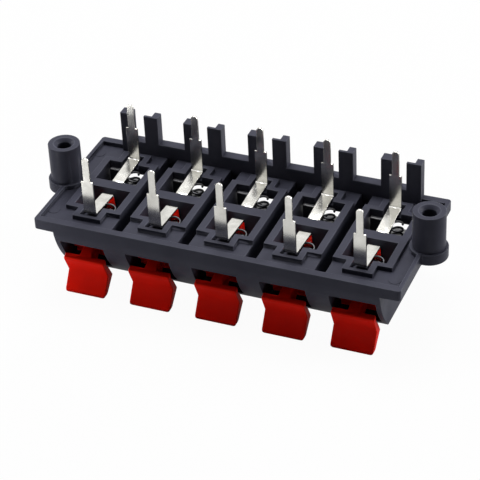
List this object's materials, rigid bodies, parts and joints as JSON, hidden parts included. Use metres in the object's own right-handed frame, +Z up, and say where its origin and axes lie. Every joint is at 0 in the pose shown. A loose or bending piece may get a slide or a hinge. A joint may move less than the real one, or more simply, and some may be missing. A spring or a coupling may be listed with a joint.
{
  "type": "speaker terminal strip",
  "caption": "Push-lever speaker terminal strip for an equipment panel, with sprung wire levers along both sides, board pins and screw bosses.",
  "frame": {"origin": "on the table that the strip lies on, under the centre of its bounding box", "axes": "+X along the strip, +Y from the red levers to the black levers, +Z up towards the board pins"},
  "size_m": [0.0778, 0.03, 0.027],
  "materials": {
    "housing_plastic": "satin moulded",
    "red_plastic": "moulded gloss",
    "black_plastic": "moulded gloss",
    "tinned_strip": "bright tin plate",
    "spring_wire": "bright wire"
  },
  "bodies": {
    "strip": {"housing": "housing_plastic", "terminal_near_1": "tinned_strip", "spring_near_1": "spring_wire", "terminal_near_2": "tinned_strip", "spring_near_2": "spring_wire", "terminal_near_3": "tinned_strip", "spring_near_3": "spring_wire", "terminal_near_4": "tinned_strip", "spring_near_4": "spring_wire", "terminal_near_5": "tinned_strip", "spring_near_5": "spring_wire", "terminal_far_1": "tinned_strip", "spring_far_1": "spring_wire", "terminal_far_2": "tinned_strip", "spring_far_2": "spring_wire", "terminal_far_3": "tinned_strip", "spring_far_3": "spring_wire", "terminal_far_4": "tinned_strip", "spring_far_4": "spring_wire", "terminal_far_5": "tinned_strip", "spring_far_5": "spring_wire"},
    "lever_near_1_body": {"lever_near_1": "red_plastic"},
    "lever_near_2_body": {"lever_near_2": "red_plastic"},
    "lever_near_3_body": {"lever_near_3": "red_plastic"},
    "lever_near_4_body": {"lever_near_4": "red_plastic"},
    "lever_near_5_body": {"lever_near_5": "red_plastic"},
    "lever_far_1_body": {"lever_far_1": "black_plastic"},
    "lever_far_2_body": {"lever_far_2": "black_plastic"},
    "lever_far_3_body": {"lever_far_3": "black_plastic"},
    "lever_far_4_body": {"lever_far_4": "black_plastic"},
    "lever_far_5_body": {"lever_far_5": "black_plastic"}
  },
  "joints": [
    {"name": "lever_near_1_press", "type": "hinge", "parent": "strip", "child": "lever_near_1_body", "pos_m": [-0.026, -0.0093, 0.0083], "axis": [-1, 0, 0], "range_deg": [0, 15], "stiffness_Nm_per_rad": 0.003, "springref_deg": -28.65, "deforming": ["spring_near_1"]},
    {"name": "lever_near_2_press", "type": "hinge", "parent": "strip", "child": "lever_near_2_body", "pos_m": [-0.013, -0.0093, 0.0083], "axis": [-1, 0, 0], "range_deg": [0, 15], "stiffness_Nm_per_rad": 0.003, "springref_deg": -28.65, "deforming": ["spring_near_2"]},
    {"name": "lever_near_3_press", "type": "hinge", "parent": "strip", "child": "lever_near_3_body", "pos_m": [0, -0.0093, 0.0083], "axis": [-1, 0, 0], "range_deg": [0, 15], "stiffness_Nm_per_rad": 0.003, "springref_deg": -28.65, "deforming": ["spring_near_3"]},
    {"name": "lever_near_4_press", "type": "hinge", "parent": "strip", "child": "lever_near_4_body", "pos_m": [0.013, -0.0093, 0.0083], "axis": [-1, 0, 0], "range_deg": [0, 15], "stiffness_Nm_per_rad": 0.003, "springref_deg": -28.65, "deforming": ["spring_near_4"]},
    {"name": "lever_near_5_press", "type": "hinge", "parent": "strip", "child": "lever_near_5_body", "pos_m": [0.026, -0.0093, 0.0083], "axis": [-1, 0, 0], "range_deg": [0, 15], "stiffness_Nm_per_rad": 0.003, "springref_deg": -28.65, "deforming": ["spring_near_5"]},
    {"name": "lever_far_1_press", "type": "hinge", "parent": "strip", "child": "lever_far_1_body", "pos_m": [-0.026, 0.0093, 0.0083], "axis": [1, 0, 0], "range_deg": [0, 15], "stiffness_Nm_per_rad": 0.003, "springref_deg": -28.65, "deforming": ["spring_far_1"]},
    {"name": "lever_far_2_press", "type": "hinge", "parent": "strip", "child": "lever_far_2_body", "pos_m": [-0.013, 0.0093, 0.0083], "axis": [1, 0, 0], "range_deg": [0, 15], "stiffness_Nm_per_rad": 0.003, "springref_deg": -28.65, "deforming": ["spring_far_2"]},
    {"name": "lever_far_3_press", "type": "hinge", "parent": "strip", "child": "lever_far_3_body", "pos_m": [0, 0.0093, 0.0083], "axis": [1, 0, 0], "range_deg": [0, 15], "stiffness_Nm_per_rad": 0.003, "springref_deg": -28.65, "deforming": ["spring_far_3"]},
    {"name": "lever_far_4_press", "type": "hinge", "parent": "strip", "child": "lever_far_4_body", "pos_m": [0.013, 0.0093, 0.0083], "axis": [1, 0, 0], "range_deg": [0, 15], "stiffness_Nm_per_rad": 0.003, "springref_deg": -28.65, "deforming": ["spring_far_4"]},
    {"name": "lever_far_5_press", "type": "hinge", "parent": "strip", "child": "lever_far_5_body", "pos_m": [0.026, 0.0093, 0.0083], "axis": [1, 0, 0], "range_deg": [0, 15], "stiffness_Nm_per_rad": 0.003, "springref_deg": -28.65, "deforming": ["spring_far_5"]}
  ]
}
